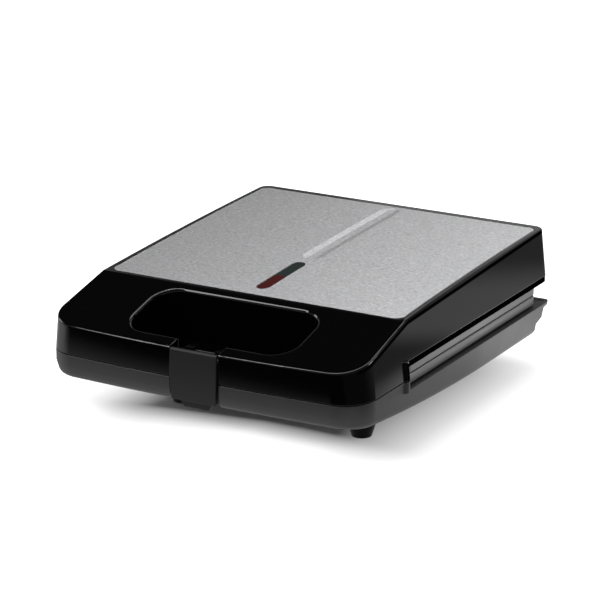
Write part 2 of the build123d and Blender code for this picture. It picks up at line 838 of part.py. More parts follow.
def base_profile(inset):
    """Side view of the base as a prism: rising front, flat belly, stepped rear under the ledge."""
    belly = belly_height + inset
    front = (front_y - 5, belly + belly_front_rise)
    middle = (front_y + belly_curve_length * 0.45, belly + belly_front_rise * 0.34)
    flat = (front_y + belly_curve_length, belly)
    tail = [
        (ledge_rear_y - rear_step_length - rear_chamfer, belly),
        (ledge_rear_y - rear_step_length - inset, belly + rear_chamfer),
        (ledge_rear_y - rear_step_length - inset, belly + rear_lower_height),
        (ledge_rear_y - rear_undercut - inset, belly + rear_lower_height + rear_slope_height),
        (ledge_rear_y - rear_undercut - inset, ledge_z - tail_thickness),
        (ledge_rear_y - inset, ledge_z - tail_thickness * 0.6 + inset),
        (ledge_rear_y - inset, parting_z + 1),
        (front[0], parting_z + 1),
        front,
    ]
    return side_prism(filled(ThreePointArc(front, middle, flat), Polyline(flat, *tail)), -far, far)


def lower_housing():
    """One-piece moulding: tub, handle half, ledge, partition, screw wells, foot bosses and ears."""
    outer = one(base_block(0) & base_profile(0) & block(-far, far, -far, far, 0, base_top_z))
    low_z = belly_height + belly_front_rise / 2
    belly = [face for face in outer.faces() if face.normal_at().Z < -0.9 and face.center().Z < low_z]
    low_edges = [e for face in belly for e in face.edges() if abs((e @ 0.5).X) > 0.2 * body_width]
    outer = one(fillet(low_edges, bottom_edge_radius))
    body = outer + cord_box(0, ledge_z) - opening(0, 0, top_z)

    inner = base_block(wall) & base_profile(wall)
    plate_room = (inner + cord_box(wall, shelf_z)) & block(-far, far, recess_y + wall, far, 0, top_z)
    front_room = handle_room(inner, 0, top_z)
    body = body - plate_room - front_room
    flange = outer & block(-far, far, recess_y + wall / 2, far, shelf_z, ledge_z)
    body += flange - plate_pad(plate_lap, shelf_z - 1, top_z)
    rise = Polyline(
        (recess_y, top_z), (recess_y, ledge_z), (ledge_rear_y - ledge_tail_length, ledge_z),
        (rear_y + 1, ledge_z + ledge_tail_rise), (rear_y + 1, top_z), close=True,
    )
    sides = side_prism(make_face(rise), -far, far)
    body -= sides - block(-partition_half, partition_half, -far, recess_y + wall, 0, top_z)
    posts = window_beads(ledge_z, half_width, base_top_z, half_width)
    body += (posts & block(-far, far, -far, far, ledge_z, base_top_z)) - front_room
    body -= notch(0, 0, top_z)
    body += block(-catch_width / 2, catch_width / 2, notch_rear_y - catch_depth, notch_rear_y,
                  catch_z, catch_z + catch_height)

    well_floor_z = base_top_z - shield_back
    for x, y in stud_places:
        body += upright(well_diameter + 2 * boss_wall, x, y, belly_height + 1, well_floor_z) & outer
        body -= upright(well_diameter, x, y, 0, well_floor_z - boss_wall)
        body -= upright(screw_diameter + 0.6, x, y, 0, well_floor_z + 1)
    for x, y in foot_places():
        body += upright(foot_boss_diameter, x, y, belly_height + 1, foot_boss_top) & outer
        body -= upright(foot_screw_diameter + 2 * screw_fit, x, y, 0, foot_boss_top - 1)
    for side in (-1, 1):
        x = side * hinge_spacing / 2
        for hand in (-1, 1):
            near = x + hand * (knuckle_width / 2 + knuckle_side_gap)
            ends = sorted((near, near + hand * ear_width))
            body += block(*ends, hinge_y - knuckle_radius, hinge_y + knuckle_radius, ledge_z - 1, hinge_z)
            body += rod(2 * knuckle_radius, (ends[0], hinge_y, hinge_z), (ends[1], hinge_y, hinge_z))
        reach = knuckle_width / 2 + knuckle_side_gap + ear_width + 1
        bore = hinge_pin_diameter + 2 * pin_press_clearance
        body -= rod(bore, (x - reach, hinge_y, hinge_z), (x + reach, hinge_y, hinge_z))
        room = knuckle_radius + knuckle_side_gap
        body -= rod(2 * room, (x - knuckle_width / 2 - knuckle_side_gap, hinge_y, hinge_z),
                    (x + knuckle_width / 2 + knuckle_side_gap, hinge_y, hinge_z))
    inlet_y = rear_y - cord_box_inset
    body -= rod(gland_diameter + 0.1, (gland_x, inlet_y - wall - 1, gland_z), (gland_x, inlet_y + 1, gland_z))
    return one(body)


def cord_box(inset, top):
    """Bulge in the middle of the rear that houses the terminal block and the cord inlet."""
    half = cord_box_width / 2 - inset
    low = belly_height + cord_box_rise + inset
    return block(-half, half, stud_rear_y, rear_y - cord_box_inset - inset, low, top)


def foot_places():
    for y in (front_y + foot_front_setback, rear_y - foot_rear_inset):
        for side in (-1, 1):
            yield side * foot_spacing / 2, y


def foot(x, y):
    """Moulded leg cut to the belly's curve, with a deep screw well and a seat for its pad."""
    top = belly_height + foot_blank_rise
    growth = (foot_top_diameter - foot_bottom_diameter) / (belly_height - foot_bottom_z)
    spread = growth * (top - foot_bottom_z)
    body = cone(foot_bottom_diameter, foot_bottom_diameter + spread, x, y, foot_bottom_z, top)
    body -= one(base_block(0) & base_profile(0))
    body -= upright(foot_pad_diameter + 0.2, x, y, 0, foot_pad_seat)
    body -= upright(foot_well_diameter, x, y, 0, foot_well_top)
    body -= upright(foot_screw_diameter + 0.6, x, y, 0, top)
    lowest = [s for s in body.solids() if s.bounding_box().min.Z < foot_bottom_z + 1]
    return lowest[0]


def foot_screws():
    head = foot_screw_diameter * 1.8
    return [
        screw(x, y, foot_well_top, 1, foot_screw_diameter, foot_screw_length, head, foot_screw_diameter * 0.6)
        for x, y in foot_places()
    ]


def foot_pads():
    return [upright(foot_pad_diameter, x, y, 0, foot_pad_seat) for x, y in foot_places()]


def handle_covers(half_block, low_z):
    """Flat covers, left and right, that close the hollow of a handle half."""
    room = handle_room(half_block, low_z, low_z + cover_thickness)
    room &= block(-far, far, -far, recess_y - cover_fit, 0, top_z)
    room -= opening(wall + cover_fit, 0, top_z)
    room -= notch(notch_wall + cover_fit, 0, top_z)
    return Compound(room.solids())


def hinge_pin(side):
    """Steel pin with a head on its outer end."""
    x = side * hinge_spacing / 2
    reach = knuckle_width / 2 + knuckle_side_gap + ear_width
    inner = x - side * (reach - 0.5)
    outer = x + side * reach
    body = rod(hinge_pin_diameter, (inner, hinge_y, hinge_z), (outer, hinge_y, hinge_z))
    head_end = outer + side * hinge_pin_head
    return one(body + rod(hinge_pin_diameter + 2, (outer, hinge_y, hinge_z), (head_end, hinge_y, hinge_z)))


def terminal_block():
    """Three-way terminal block on the cord box's floor, with a wire way and a screw well each."""
    y0 = block_front_y
    body = block(-block_length / 2, block_length / 2, y0, y0 + block_width, block_z, block_z + block_height)
    for x in way_places():
        body -= rod(block_bore, (x, y0 - 1, lead_z), (x, y0 + block_width + 1, lead_z))
        body -= upright(way_screw_diameter + 0.2, x, y0 + block_width / 2, lead_z, block_z + block_height + 1)
    return one(body)


def way_places():
    return [way * block_length / 3.2 for way in (-1, 0, 1)]


def terminal_screws():
    """Slotted grub screws, one above each wire way."""
    y = block_front_y + block_width / 2
    low = lead_z + block_bore / 2
    high = low + way_screw_length
    screws = []
    for x in way_places():
        barrel = upright(way_screw_diameter, x, y, low, high)
        half = way_screw_diameter / 2
        screws.append(one(barrel - block(x - 0.4, x + 0.4, y - half, y + half, high - 0.8, high + 1)))
    return screws


def cord_gland():
    """Bush in the cord box's rear wall that the mains cord would pass through."""
    outside = rear_y - cord_box_inset
    inside = outside - wall
    body = rod(gland_diameter, (gland_x, inside - 3, gland_z), (gland_x, outside + gland_proud, gland_z))
    body += rod(gland_flange_diameter, (gland_x, outside, gland_z), (gland_x, outside + 2, gland_z))
    body += rod(gland_collar_diameter, (gland_x, inside - 2, gland_z), (gland_x, inside, gland_z))
    ends = (inside - 4, outside + gland_proud + 1)
    return one(body - rod(cord_hole_diameter, *[(gland_x, y, gland_z) for y in ends]))


# ---------------------------------------------------------------- latch
def latch():
    """Clip on the lid's front: curved face, two pivot lugs, an inner hook and a finger tab."""
    face = front_y - latch_proud
    back = face + latch_thickness
    top = slab_front_z - latch_top_drop
    bottom = latch_bottom_z
    middle = (top + bottom) / 2
    edge = face + latch_bulge
    nose_start = (edge, top - latch_nose)
    nose_middle = (edge + 0.3 * latch_nose, top - 0.3 * latch_nose)
    nose_end = (edge + latch_nose, top)
    profile = filled(
        ThreePointArc((edge, bottom), (face, middle), nose_start),
        ThreePointArc(nose_start, nose_middle, nose_end),
        Polyline(nose_end, (back, top), (back, bottom), (edge, bottom)),
    )
    body = side_prism(profile, -latch_width / 2, latch_width / 2)
    half_top = latch_width / 2
    half_bottom = half_top - latch_taper
    front_view = [(-half_bottom, bottom), (-half_top, middle), (-half_top, top), (half_top, top),
                  (half_top, middle), (half_bottom, bottom)]
    body &= extrude(Plane.XZ * make_face(Polyline(*front_view, close=True)), amount=far)
    for side in (-1, 1):
        ends = sorted((side * latch_lug_inner, side * (latch_lug_inner + latch_lug_width)))
        body += block(*ends, back - 0.5, pivot_y, pivot_z - latch_lug_radius, pivot_z + latch_lug_radius)
        body += rod(2 * latch_lug_radius, (ends[0], pivot_y, pivot_z), (ends[1], pivot_y, pivot_z))
    hook_top = catch_z - catch_clearance
    hook_rear = notch_rear_y - catch_depth - catch_clearance
    hook_ends = (back - 0.5, hook_rear)
    body += block(-catch_width / 2, catch_width / 2, *hook_ends, hook_top - latch_hook_thickness, hook_top)
    tab_front = face + latch_tab_setback
    tab_rear = tab_front + latch_tab_thickness
    half_tab = latch_tab_width / 2
    narrow = half_tab - latch_tab_length * 0.6
    tab_view = [(-half_tab, bottom + 2), (-half_tab, bottom), (-narrow, bottom - latch_tab_length),
                (narrow, bottom - latch_tab_length), (half_tab, bottom), (half_tab, bottom + 2)]
    tab_face = Plane.XZ * make_face(Polyline(*tab_view, close=True))
    body += Pos(0, tab_rear, 0) * extrude(tab_face, amount=latch_tab_thickness)
    body += block(-half_tab, half_tab, back - 0.5, tab_front + 0.5, bottom, bottom + 2)
    bore = latch_pin_diameter + 2 * latch_pin_clearance
    body -= rod(bore, (-latch_width, pivot_y, pivot_z), (latch_width, pivot_y, pivot_z))
    return one(body)


def latch_pin():
    return rod(latch_pin_diameter, (-latch_pin_half, pivot_y, pivot_z), (latch_pin_half, pivot_y, pivot_z))


# ---------------------------------------------------------------- leads
def lead(*points):
    """Insulated lead along straight runs with tangent bends."""
    path = FilletPolyline(*points, radius=lead_bend) if len(points) > 2 else Line(*points)
    return sweep(Plane(origin=path @ 0, z_dir=path % 0) * Circle(lead_diameter / 2), path=path)


def upper_leads():
    """From each cold pin up through the shield's slot and forward to the lamp holder."""
    rear = pocket_rear_y + heater_offset
    tip = heater_terminal_gap / 2 - cold_pin_length
    low_z = lid_bottom_z + heater_depth
    high_z = lid_bottom_z + shield_back + 8
    holder_rear = window_front_y + window_length + lens_flange + 2
    return [
        lead(
            (side * (tip - 0.1), rear, low_z), (side * lead_lane, rear, low_z),
            (side * lead_lane, rear, high_z), (side * lead_lane, holder_rear + 0.1, high_z),
        )
        for side in (-1, 1)
    ]


def lower_leads():
    """Between terminal block, thermostat and cold pins."""
    rear = pocket_rear_y + heater_offset
    block_face = block_front_y - 0.1
    pin_x = heater_terminal_gap / 2 - cold_pin_length + 2
    pin_z = base_top_z - heater_depth - cold_pin_diameter / 2 - 0.1
    terminal_x = thermostat_diameter / 4
    terminal_y = stud_rear_y + 3.2
    turn_y = (terminal_y + block_face) / 2
    return [
        lead((pin_x, rear, pin_z), (pin_x, rear, lead_z), (pin_x, block_face, lead_z)),
        lead((terminal_x, terminal_y, lead_z), (terminal_x, block_face, lead_z)),
        lead(
            (-terminal_x, terminal_y, lead_z), (-terminal_x, turn_y, lead_z), (-pin_x, turn_y, lead_z),
            (-pin_x, rear, lead_z), (-pin_x, rear, pin_z),
        ),
    ]


# ---------------------------------------------------------------- export
def in_lid(piece):
    """From the plate's own frame, back towards +Z, to its place in the lid."""
    return Pos(0, 0, lid_bottom_z) * piece


def in_base(piece):
    """The same, turned over for the base."""
    return Pos(0, 0, base_top_z) * mirror(piece, about=Plane.XY)


upper_clip_top = plate_thickness + fuse_diameter + clip_thickness
lower_clip_top = plate_thickness + thermostat_height + clip_thickness
nodes = {
    "upper_housing": upper_housing(),
    "steel_top_panel": steel_top_panel(),
    "power_lens": indicator_lens(True),
    "ready_lens": indicator_lens(False),
    "lamp_holder": lamp_holder(),
    "indicator_lamps": indicator_lamps(),
    "upper_handle_covers": handle_covers(lid_block(wall + cover_fit, lid_bottom_z), lid_bottom_z),
    "upper_cooking_plate": in_lid(cooking_plate(upper_rim_height, fuse_diameter)),
    "upper_heating_element": in_lid(heating_element()),
    "upper_heat_shield": in_lid(heat_shield()),
    "upper_plate_screws": Compound([in_lid(s) for s in plate_screws()]),
    "thermal_fuse": in_lid(thermal_fuse()),
    "fuse_clip": in_lid(fuse_clip()),
    "fuse_clip_screw": in_lid(clip_screw(upper_clip_top)),
    "upper_earth_screw": in_lid(earth_screw()),
    "upper_leads": Compound(upper_leads()),
    "latch": latch(),
    "latch_pin": latch_pin(),
    "lower_housing": lower_housing(),
    "lower_handle_covers": handle_covers(base_block(wall + cover_fit), base_top_z - cover_thickness),
    "lower_cooking_plate": in_base(cooking_plate(lower_rim_height, thermostat_height)),
    "lower_heating_element": in_base(heating_element()),
    "lower_heat_shield": in_base(heat_shield()),
    "lower_plate_screws": Compound([in_base(s) for s in plate_screws()]),
    "thermostat": in_base(thermostat()),
    "thermostat_clamp": in_base(thermostat_clamp()),
    "thermostat_clamp_screw": in_base(clip_screw(lower_clip_top)),
    "lower_earth_screw": in_base(earth_screw()),
    "lower_leads": Compound(lower_leads()),
    "terminal_block": terminal_block(),
    "terminal_screws": Compound(terminal_screws()),
    "cord_gland": cord_gland(),
    "left_hinge_pin": hinge_pin(-1),
    "right_hinge_pin": hinge_pin(1),
    "foot_screws": Compound(foot_screws()),
    "foot_pads": Compound(foot_pads()),
}
foot_names = ("front_left_foot", "front_right_foot", "rear_left_foot", "rear_right_foot")
for name, place in zip(foot_names, foot_places()):
    nodes[name] = foot(*place)
for name, shape in nodes.items():
    export_step(shape, f"parts/{name}.step")
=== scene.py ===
import json
import math

import bmesh
import bpy
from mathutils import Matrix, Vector


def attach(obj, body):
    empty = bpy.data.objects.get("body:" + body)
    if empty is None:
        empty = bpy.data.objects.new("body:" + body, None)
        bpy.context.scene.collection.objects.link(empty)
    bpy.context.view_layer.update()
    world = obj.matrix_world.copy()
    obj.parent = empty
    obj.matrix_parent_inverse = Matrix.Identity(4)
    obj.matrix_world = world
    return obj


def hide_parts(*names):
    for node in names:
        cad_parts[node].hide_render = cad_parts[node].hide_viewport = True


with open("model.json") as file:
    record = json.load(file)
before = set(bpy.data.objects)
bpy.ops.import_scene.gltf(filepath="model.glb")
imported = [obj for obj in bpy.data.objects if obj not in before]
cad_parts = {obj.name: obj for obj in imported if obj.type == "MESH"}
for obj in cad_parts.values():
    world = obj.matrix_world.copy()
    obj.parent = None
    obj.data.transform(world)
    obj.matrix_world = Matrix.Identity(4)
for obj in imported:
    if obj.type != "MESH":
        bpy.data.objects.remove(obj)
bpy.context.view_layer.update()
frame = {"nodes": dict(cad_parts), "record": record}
scene = bpy.context.scene
nodes = frame["nodes"]

# ---------------------------------------------------------------- camera
# A long lens from the front right, a little above the appliance, aimed so that its right side,
# its sloping front and its lid all show. It has no shift and no depth of field.
camera_turn = math.radians(29.416)
camera_rise = math.radians(17.870)
camera_place = (0.8896, -1.58355, 0.6578)
camera_lens = 164.24
camera_sensor = 36.0
camera_sight = 50.0

camera_data = bpy.data.cameras.new("camera")
camera_data.lens = camera_lens
camera_data.sensor_width = camera_sensor
camera_data.clip_end = camera_sight
camera = bpy.data.objects.new("camera", camera_data)
camera.location = camera_place
camera.rotation_euler = (math.pi / 2 - camera_rise, 0.0, camera_turn)
scene.collection.objects.link(camera)
scene.camera = camera
scene.view_settings.view_transform = "Standard"


# ---------------------------------------------------------------- floor
# A wide pale table top. The camera sees it white from an added white glow, held back in a soft
# rounded patch round the appliance: a painted shadow laid over its real shadow. Reflections see
# it instead as painted reflections: glowing bands along Y, of one kind near and one beside it.
def new_material(name):
    """Empty node material and its output node."""
    made = bpy.data.materials.new(name)
    made.use_nodes = True
    made.node_tree.nodes.clear()
    output = made.node_tree.nodes.new("ShaderNodeOutputMaterial")
    return made, made.node_tree, output


def add(tree, kind, **settings):
    """New node. A setting that names an input sets its value, the rest are node properties."""
    node = tree.nodes.new(kind)
    for name, value in settings.items():
        socket = name.replace("_", " ")
        found = [s for s in node.inputs if s.name.lower() == socket.lower()]
        if found:
            found[0].default_value = value
        else:
            setattr(node, name, value)
    return node


floor_size = 14.0
floor_grey = 0.52
# Where the painted shadow lies: its middle, half size, stretch, slant to the left and reach.
shade_middle = (-0.014, 0.040)
shade_half = (0.068, 0.0925)
shade_stretch = (1.0, 2.6)
shade_slant = 0.15
shade_reach = 0.20
# Share of the camera's white glow by distance out from that patch. The low share near the appliance
# paints a shadow.
white_steps = (
    (0.0, 0.0),
    (0.015, 0.20),
    (0.028, 0.31),
    (0.040, 0.41),
    (0.051, 0.50),
    (0.065, 0.62),
    (0.10, 0.85),
    (0.16, 1.0),
)
# Painted reflections: glossy rays see the floor glow in bands along Y instead of its lit colour,
# near black in front and brightest a little behind the middle, with other bands out to the right.
shine_from = -0.50
shine_to = 0.70
shine_peak = 1.6
near_steps = (
    (-0.325, 0.002),
    (-0.215, 0.46),
    (-0.06, 0.30),
    (0.06, 0.42),
    (0.17, 1.0),
    (0.35, 0.40),
)
far_steps = ((-0.10, 0.02), (0.20, 0.07), (0.28, 0.27), (0.37, 0.27), (0.50, 0.08))
far_from = 0.21
far_to = 0.27

floor_material, tree, output = new_material("pale_floor")
place = add(tree, "ShaderNodeTexCoord")
split = add(tree, "ShaderNodeSeparateXYZ")
tree.links.new(place.outputs["Object"], split.inputs[0])
from_middle = add(tree, "ShaderNodeVectorMath", operation="SUBTRACT")
from_middle.inputs[1].default_value = (*shade_middle, 0.0)
tree.links.new(place.outputs["Object"], from_middle.inputs[0])
folded = add(tree, "ShaderNodeVectorMath", operation="ABSOLUTE")
tree.links.new(from_middle.outputs[0], folded.inputs[0])
leftward = add(tree, "ShaderNodeMath", operation="MINIMUM")
leftward.inputs[1].default_value = 0.0
tree.links.new(split.outputs["X"], leftward.inputs[0])
slanted = add(tree, "ShaderNodeCombineXYZ")
slant = add(tree, "ShaderNodeMath", operation="MULTIPLY")
slant.inputs[1].default_value = shade_slant
tree.links.new(leftward.outputs[0], slant.inputs[0])
tree.links.new(slant.outputs[0], slanted.inputs["Y"])
spread = add(tree, "ShaderNodeVectorMath", operation="ADD")
tree.links.new(folded.outputs[0], spread.inputs[0])
tree.links.new(slanted.outputs[0], spread.inputs[1])
beyond = add(tree, "ShaderNodeVectorMath", operation="SUBTRACT")
beyond.inputs[1].default_value = (*shade_half, 0.0)
tree.links.new(spread.outputs[0], beyond.inputs[0])
outside = add(tree, "ShaderNodeVectorMath", operation="MAXIMUM")
outside.inputs[1].default_value = (0.0, 0.0, 0.0)
tree.links.new(beyond.outputs[0], outside.inputs[0])
scaled = add(tree, "ShaderNodeVectorMath", operation="MULTIPLY")
scaled.inputs[1].default_value = (*shade_stretch, 0.0)
tree.links.new(outside.outputs[0], scaled.inputs[0])
away = add(tree, "ShaderNodeVectorMath", operation="LENGTH")
tree.links.new(scaled.outputs[0], away.inputs[0])
reach = add(tree, "ShaderNodeMath", operation="DIVIDE")
reach.inputs[1].default_value = shade_reach
tree.links.new(away.outputs["Value"], reach.inputs[0])
whiter = add(tree, "ShaderNodeValToRGB")
while len(whiter.color_ramp.elements) < len(white_steps):
    whiter.color_ramp.elements.new(0.5)
for stop, (distance, grey) in zip(whiter.color_ramp.elements, white_steps):
    stop.position = distance / shade_reach
    stop.color = (grey, grey, grey, 1)
tree.links.new(reach.outputs[0], whiter.inputs[0])
# Only the camera sees the white glow, which is held back near the appliance as painted shadow.
path = add(tree, "ShaderNodeLightPath")
share = add(tree, "ShaderNodeMath", operation="MULTIPLY")
tree.links.new(path.outputs["Is Camera Ray"], share.inputs[0])
tree.links.new(whiter.outputs["Color"], share.inputs[1])
diffuse = add(tree, "ShaderNodeBsdfDiffuse", Color=(floor_grey, floor_grey, floor_grey, 1))
white = add(tree, "ShaderNodeEmission", Color=(1, 1, 1, 1))
tree.links.new(share.outputs[0], white.inputs["Strength"])
seen = add(tree, "ShaderNodeAddShader")
tree.links.new(diffuse.outputs[0], seen.inputs[0])
tree.links.new(white.outputs[0], seen.inputs[1])
# Painted reflection: the banded glow that glossy rays see in place of the lit floor.
along = add(tree, "ShaderNodeMapRange")
along.inputs["From Min"].default_value = shine_from
along.inputs["From Max"].default_value = shine_to
tree.links.new(split.outputs["Y"], along.inputs["Value"])
ramps = []
for steps in (near_steps, far_steps):
    ramp = add(tree, "ShaderNodeValToRGB")
    ramp.color_ramp.interpolation = "EASE"
    while len(ramp.color_ramp.elements) < len(steps):
        ramp.color_ramp.elements.new(0.5)
    for stop, (y, grey) in zip(ramp.color_ramp.elements, steps):
        stop.position = (y - shine_from) / (shine_to - shine_from)
        stop.color = (grey, grey, grey, 1)
    tree.links.new(along.outputs[0], ramp.inputs[0])
    ramps.append(ramp)
beside = add(tree, "ShaderNodeMapRange", interpolation_type="SMOOTHSTEP")
beside.inputs["From Min"].default_value = far_from
beside.inputs["From Max"].default_value = far_to
tree.links.new(split.outputs["X"], beside.inputs["Value"])
shine = add(tree, "ShaderNodeMix", data_type="RGBA")
tree.links.new(beside.outputs[0], shine.inputs[0])
for socket, ramp in zip([s for s in shine.inputs if s.type == "RGBA"], ramps):
    tree.links.new(ramp.outputs["Color"], socket)
painted_reflection = add(tree, "ShaderNodeEmission", Strength=shine_peak)
tree.links.new([s for s in shine.outputs if s.type == "RGBA"][0], painted_reflection.inputs["Color"])
both = add(tree, "ShaderNodeMixShader")
tree.links.new(path.outputs["Is Glossy Ray"], both.inputs[0])
tree.links.new(seen.outputs[0], both.inputs[1])
tree.links.new(painted_reflection.outputs[0], both.inputs[2])
tree.links.new(both.outputs[0], output.inputs["Surface"])

half = floor_size / 2
floor_mesh = bpy.data.meshes.new("floor")
floor_corners = [(-half, -half, 0), (half, -half, 0), (half, half, 0), (-half, half, 0)]
floor_mesh.from_pydata(floor_corners, [], [(0, 1, 2, 3)])
floor = bpy.data.objects.new("floor", floor_mesh)
floor.data.materials.append(floor_material)
scene.collection.objects.link(floor)

# ---------------------------------------------------------------- world and lamps
# A white surround for the camera. Reflections see it grey at the horizon and dark overhead, where
# only the softboxes are bright. One large softbox hangs overhead, a narrow one at the front left
# draws the edges, and three smaller ones stand behind and at the sides.
seen_white = 1.0
ambient = 0.60
horizon_grey = 0.24
overhead_grey = 0.01
horizon_low = 0.28
horizon_top = 0.62

world = bpy.data.worlds.new("studio")
scene.world = world
world.use_nodes = True
tree = world.node_tree
tree.nodes.clear()
output = add(tree, "ShaderNodeOutputWorld")
path = add(tree, "ShaderNodeLightPath")
place = add(tree, "ShaderNodeTexCoord")
split = add(tree, "ShaderNodeSeparateXYZ")
tree.links.new(place.outputs["Generated"], split.inputs[0])
fade = add(tree, "ShaderNodeMapRange", interpolation_type="SMOOTHSTEP")
fade.inputs["From Min"].default_value = horizon_low
fade.inputs["From Max"].default_value = horizon_top
fade.inputs["To Min"].default_value = horizon_grey
fade.inputs["To Max"].default_value = overhead_grey
tree.links.new(split.outputs["Z"], fade.inputs["Value"])
plain = add(tree, "ShaderNodeBackground", Color=(1, 1, 1, 1), Strength=ambient)
shown = add(tree, "ShaderNodeBackground", Color=(1, 1, 1, 1), Strength=seen_white)
reflected = add(tree, "ShaderNodeBackground", Color=(1, 1, 1, 1))
tree.links.new(fade.outputs[0], reflected.inputs["Strength"])
first = add(tree, "ShaderNodeMixShader")
tree.links.new(path.outputs["Is Glossy Ray"], first.inputs[0])
tree.links.new(plain.outputs[0], first.inputs[1])
tree.links.new(reflected.outputs[0], first.inputs[2])
second = add(tree, "ShaderNodeMixShader")
clear = add(tree, "ShaderNodeMath", operation="MAXIMUM")
tree.links.new(path.outputs["Is Camera Ray"], clear.inputs[0])
tree.links.new(path.outputs["Is Transmission Ray"], clear.inputs[1])
tree.links.new(clear.outputs[0], second.inputs[0])
tree.links.new(first.outputs[0], second.inputs[1])
tree.links.new(shown.outputs[0], second.inputs[2])
tree.links.new(second.outputs[0], output.inputs["Surface"])


def softbox(name, place, aim, width, height, power):
    """Rectangular lamp that faces a point."""
    data = bpy.data.lights.new(name, "AREA")
    data.shape = "RECTANGLE"
    data.size = width
    data.size_y = height
    data.energy = power
    lamp = bpy.data.objects.new(name, data)
    lamp.location = place
    lamp.rotation_euler = (Vector(aim) - Vector(place)).to_track_quat("-Z", "Y").to_euler()
    scene.collection.objects.link(lamp)


# name, place, aim, width, height, watts
softboxes = (
    ("overhead_softbox", (0.02, 0.30, 1.15), (0.02, 0.30, 0.0), 0.70, 1.6, 6.8),
    ("front_left_softbox", (-0.56, -0.50, 1.0), (-0.40, -0.20, 0.0), 0.24, 1.4, 6.2),
    ("rear_softbox", (0.05, 1.30, 0.68), (0.05, 0.05, 0.10), 1.5, 0.40, 0.5),
    ("right_softbox", (1.25, 0.75, 0.55), (0.05, 0.0, 0.05), 0.5, 0.8, 5.0),
    ("left_softbox", (-1.2, -0.1, 0.5), (0.0, 0.0, 0.05), 0.4, 0.6, 2.0),
)
for row in softboxes:
    softbox(*row)


# ---------------------------------------------------------------- upper housing
# One gloss black moulding: sloping slab with the handle opening, deck frame, sides and hinge
# knuckles. Its edges are broken by the tool, and its skin has the faint unevenness of moulding.
def broken_edges(node, edge_radius, sharp_angle, crease_angle):
    """Copy of a CAD node with its points merged, flats rejoined and sharp edges rounded.
    Edges of faces narrower than the rounding stay as they are."""
    same_point = 2e-6
    flat_angle = math.radians(0.15)
    shape = bmesh.new()
    shape.from_mesh(nodes[node].data)
    bmesh.ops.remove_doubles(shape, verts=shape.verts, dist=same_point)
    bmesh.ops.dissolve_limit(shape, angle_limit=flat_angle, verts=shape.verts, edges=shape.edges)
    for face in shape.faces:
        face.smooth = True
    rounding = shape.edges.layers.float.new("bevel_weight_edge")
    for edge in shape.edges:
        angle = edge.calc_face_angle(0.0)
        edge.smooth = angle < math.radians(crease_angle)
        narrowest = min(2 * face.calc_area() / face.calc_perimeter() for face in edge.link_faces)
        edge[rounding] = float(angle > math.radians(sharp_angle) and narrowest > edge_radius)
    mesh = bpy.data.meshes.new(node + "_skin")
    shape.to_mesh(mesh)
    shape.free()
    piece = bpy.data.objects.new(node + "_skin", mesh)
    scene.collection.objects.link(piece)
    bevel = piece.modifiers.new("broken_edges", "BEVEL")
    bevel.width = edge_radius
    bevel.segments = 2
    bevel.limit_method = "WEIGHT"
    bevel.use_clamp_overlap = False
    bevel.harden_normals = False
    bevel.miter_outer = "MITER_ARC"
    weigh = piece.modifiers.new("flat_faces_rule", "WEIGHTED_NORMAL")
    weigh.keep_sharp = True
    weigh.weight = 100
    bpy.context.view_layer.update()
    evaluated = piece.evaluated_get(bpy.context.evaluated_depsgraph_get())
    finished = bpy.data.meshes.new_from_object(evaluated)
    piece.modifiers.clear()
    piece.data = finished
    return piece


def body_of(node):
    """Name of the CAD body that a node belongs to."""
    bodies = frame["record"]["behaviour"]["bodies"]
    return next(body for body, members in bodies.items() if node in members)


def slot_of(node):
    """Name of the record's material slot of a node."""
    subparts = frame["record"]["subparts"]
    return next(part["material_slot"] for part in subparts if part["node"] == node)


def stand_in(node, edge_radius, material, sharp_angle=32.0, crease_angle=32.0):
    """Refined copy of a node that replaces it and rides on its body."""
    piece = broken_edges(node, edge_radius, sharp_angle, crease_angle)
    piece.data.materials.clear()
    piece.data.materials.append(material)
    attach(piece, body_of(node))
    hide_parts(node)
    return piece


def group_socket(group, name, way, kind, value=None):
    """New socket of a node group, with its value where it is an input."""
    made = group.interface.new_socket(name=name, in_out=way, socket_type=kind)
    if value is not None:
        made.default_value = value


